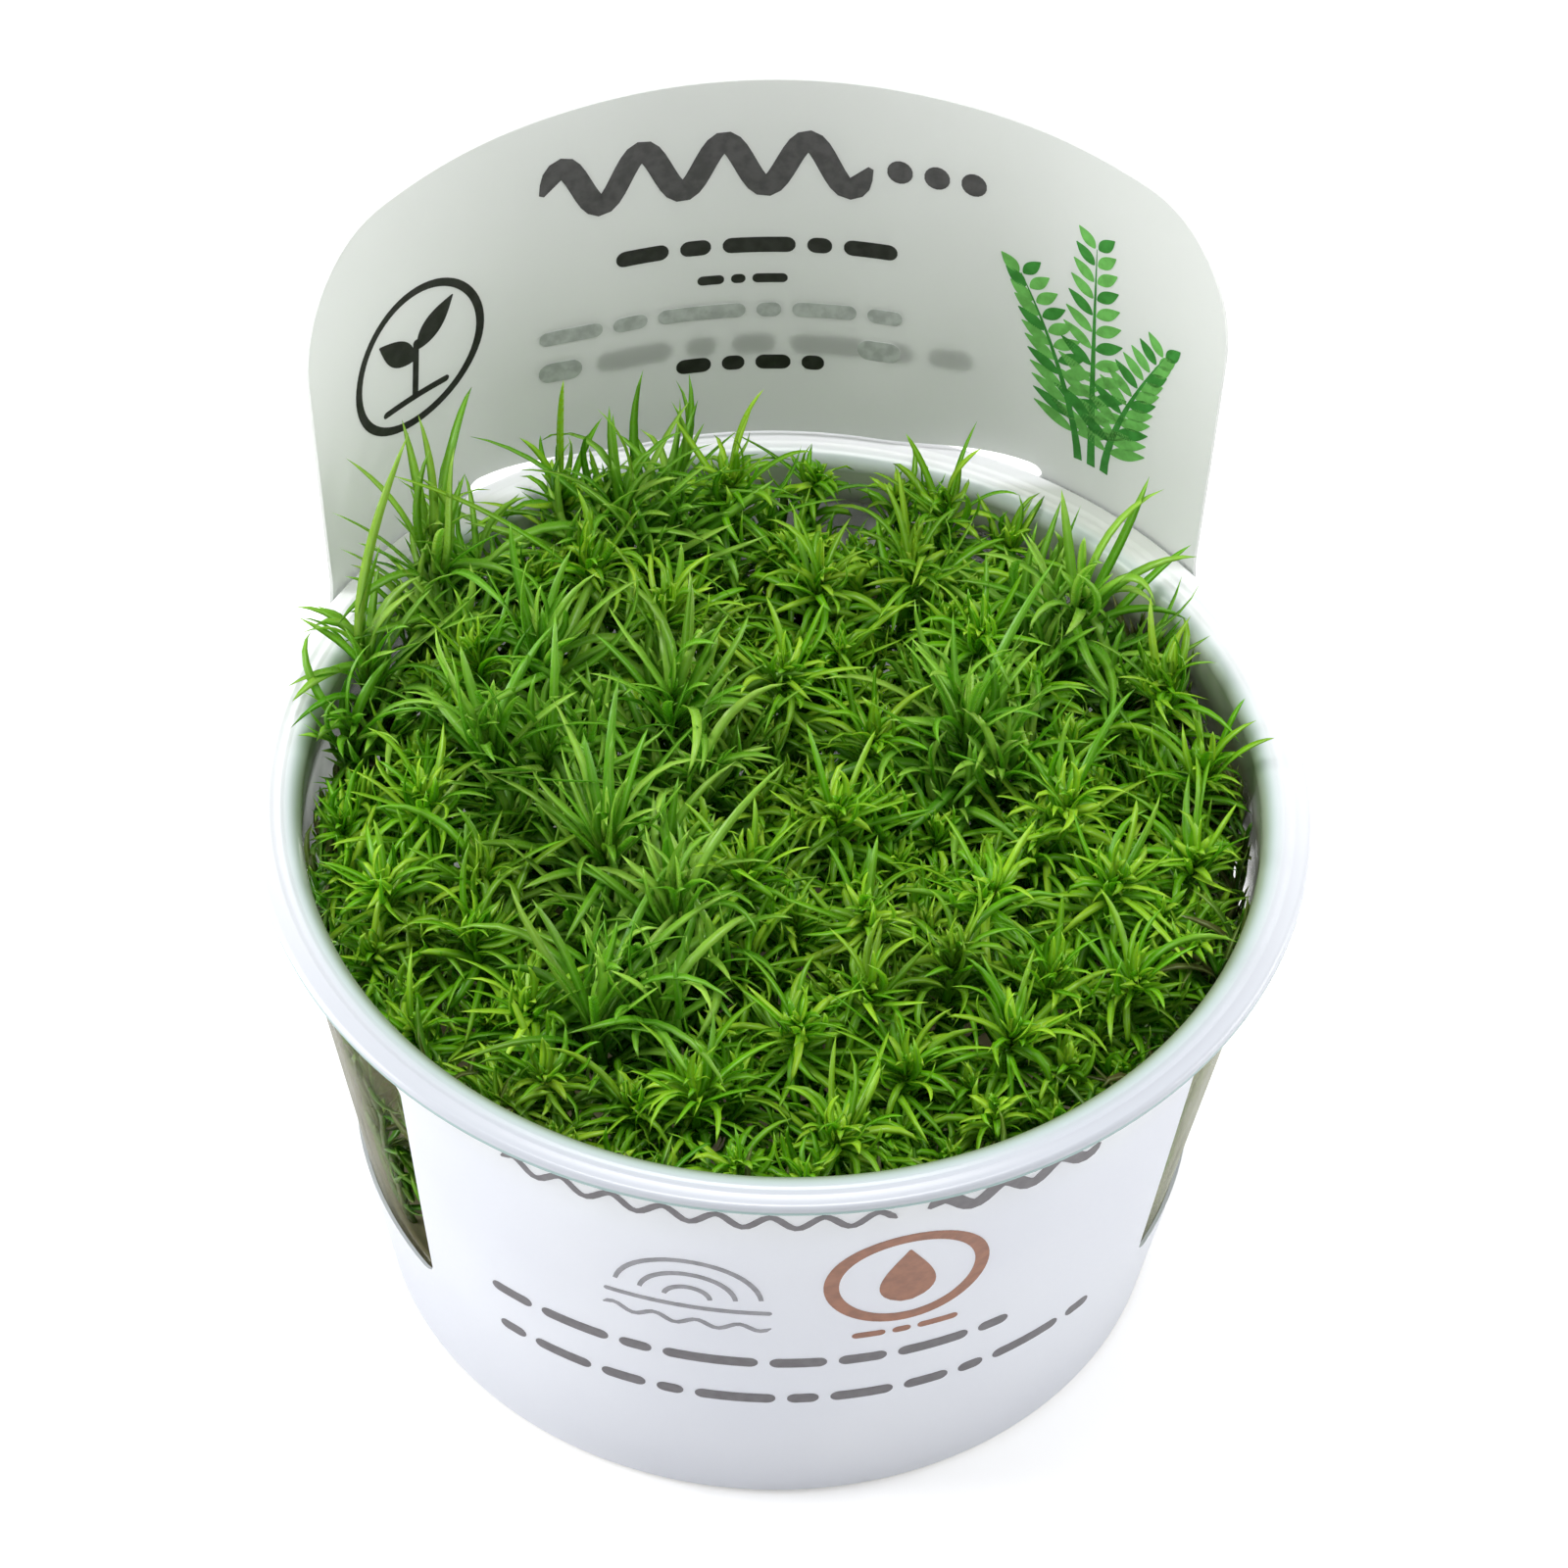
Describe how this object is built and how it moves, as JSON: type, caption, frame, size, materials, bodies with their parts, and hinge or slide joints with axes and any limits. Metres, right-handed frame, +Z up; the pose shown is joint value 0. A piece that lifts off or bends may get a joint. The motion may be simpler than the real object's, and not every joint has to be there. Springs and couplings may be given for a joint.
{
  "type": "tissue culture plant cup",
  "caption": "Bed of small stemmed water plants growing on set gel in a clear tapered cup, held by a white wrap-round sleeve with side windows and a tall slotted back tab.",
  "frame": {"origin": "centre of the cup's base, on the surface the cup stands on", "axes": "+Z up along the cup's axis, +Y towards the back where the sleeve's tall tab stands, +X to the right seen from the front"},
  "size_m": [0.1, 0.1066, 0.0975],
  "materials": {
    "clear_plastic": "clear, smooth and glossy thermoformed plastic",
    "white_sheet": "white, slightly translucent sheet with a satin surface",
    "gel": "set culture gel, brownish, translucent and moist",
    "fine_leaf": "fresh green narrow leaves, slightly glossy",
    "broad_leaf": "deeper green, wider leaves, slightly glossy"
  },
  "bodies": {
    "root": {"cup": "clear_plastic", "sleeve": "white_sheet", "growth_gel": "gel", "plantlet_01": "fine_leaf", "plantlet_02": "fine_leaf", "plantlet_03": "fine_leaf", "plantlet_04": "fine_leaf", "plantlet_05": "fine_leaf", "plantlet_06": "fine_leaf", "plantlet_07": "broad_leaf", "plantlet_08": "fine_leaf", "plantlet_09": "fine_leaf", "plantlet_10": "fine_leaf", "plantlet_11": "fine_leaf", "plantlet_12": "fine_leaf", "plantlet_13": "fine_leaf", "plantlet_14": "fine_leaf", "plantlet_15": "fine_leaf", "plantlet_16": "fine_leaf", "plantlet_17": "fine_leaf", "plantlet_18": "fine_leaf", "plantlet_19": "fine_leaf", "plantlet_20": "fine_leaf", "plantlet_21": "fine_leaf", "plantlet_22": "fine_leaf", "plantlet_23": "fine_leaf", "plantlet_24": "fine_leaf", "plantlet_25": "broad_leaf", "plantlet_26": "fine_leaf", "plantlet_27": "broad_leaf", "plantlet_28": "fine_leaf", "plantlet_29": "fine_leaf", "plantlet_30": "fine_leaf", "plantlet_31": "fine_leaf", "plantlet_32": "broad_leaf", "plantlet_33": "fine_leaf", "plantlet_34": "broad_leaf", "plantlet_35": "fine_leaf", "plantlet_36": "broad_leaf", "plantlet_37": "fine_leaf", "plantlet_38": "fine_leaf", "plantlet_39": "broad_leaf", "plantlet_40": "broad_leaf", "plantlet_41": "fine_leaf", "plantlet_42": "broad_leaf", "plantlet_43": "broad_leaf", "plantlet_44": "broad_leaf", "plantlet_45": "fine_leaf", "plantlet_46": "fine_leaf"}
  },
  "joints": []
}
